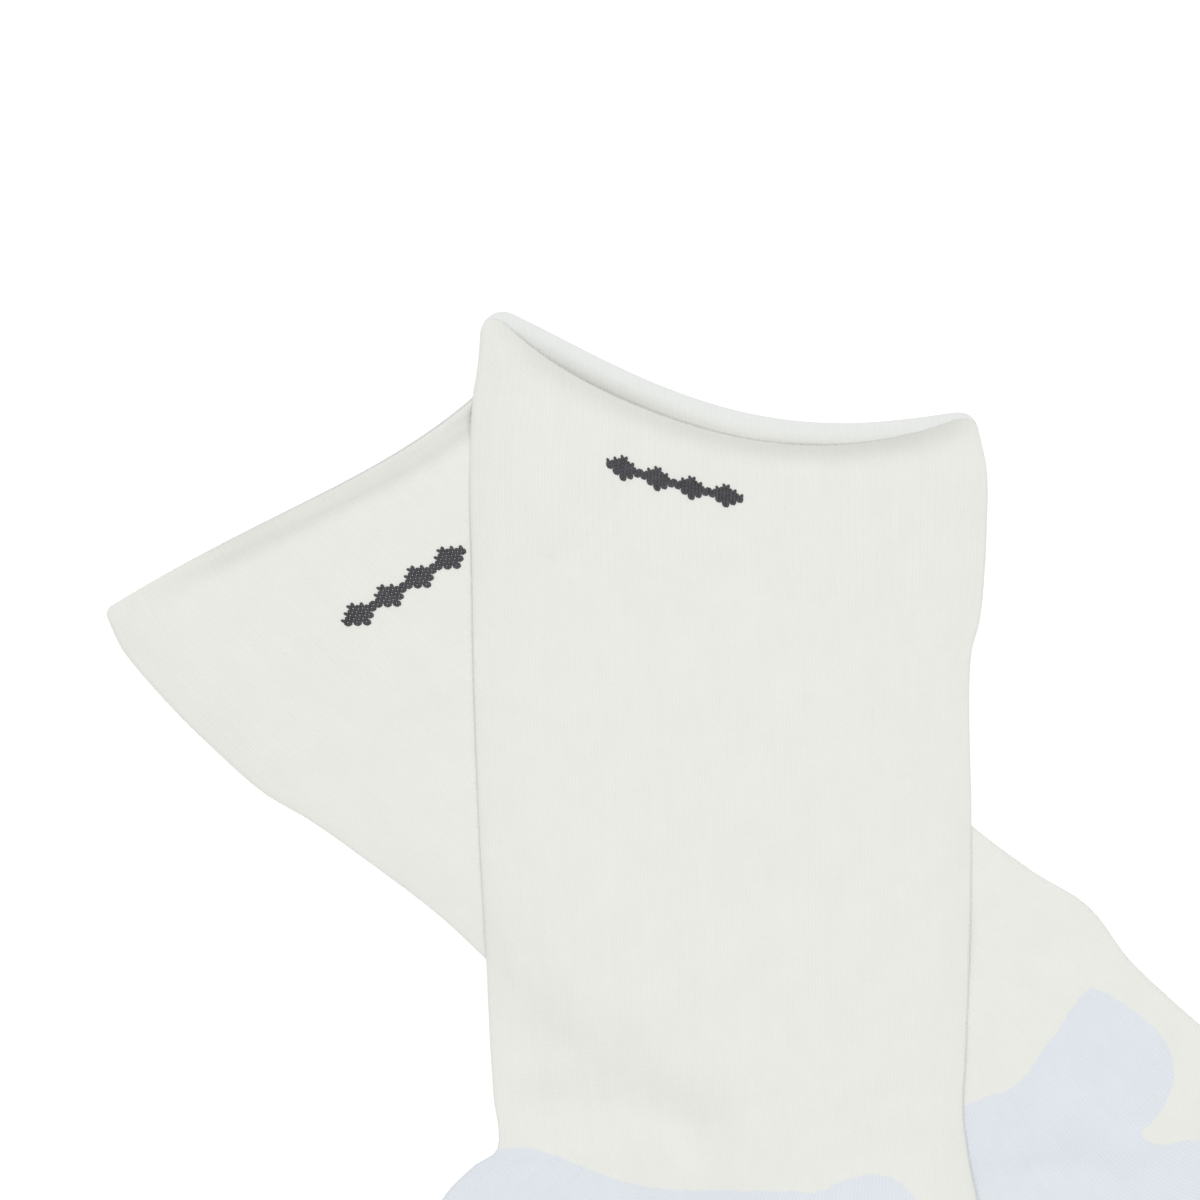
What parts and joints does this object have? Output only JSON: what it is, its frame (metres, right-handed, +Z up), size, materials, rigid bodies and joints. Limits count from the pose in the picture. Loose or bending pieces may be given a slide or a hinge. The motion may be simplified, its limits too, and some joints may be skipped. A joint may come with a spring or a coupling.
{
  "type": "pair of crew socks",
  "caption": "Pair of ivory crew socks with pale blue padded heels, soles and toes, laid flat and crossed, cuffs open.",
  "frame": {"origin": "middle of the pair's box, on the table that it lies on", "axes": "+Z up from the table, +Y towards the upper sock's open cuff, +X towards the side that both feet turn to"},
  "size_m": [0.348, 0.3488, 0.0118],
  "materials": {
    "ivory_knit": "fine matt cotton-blend plain knit, ivory, a little fuzz",
    "ice_terry": "fine knit with terry loops inside, pale ice blue, matt"
  },
  "bodies": {
    "root": {"lower_welt": "ivory_knit", "lower_leg": "ivory_knit", "lower_heel_sole": "ice_terry", "lower_toe": "ice_terry", "upper_welt": "ivory_knit", "upper_leg": "ivory_knit", "upper_heel_sole": "ice_terry", "upper_toe": "ice_terry"}
  },
  "joints": []
}
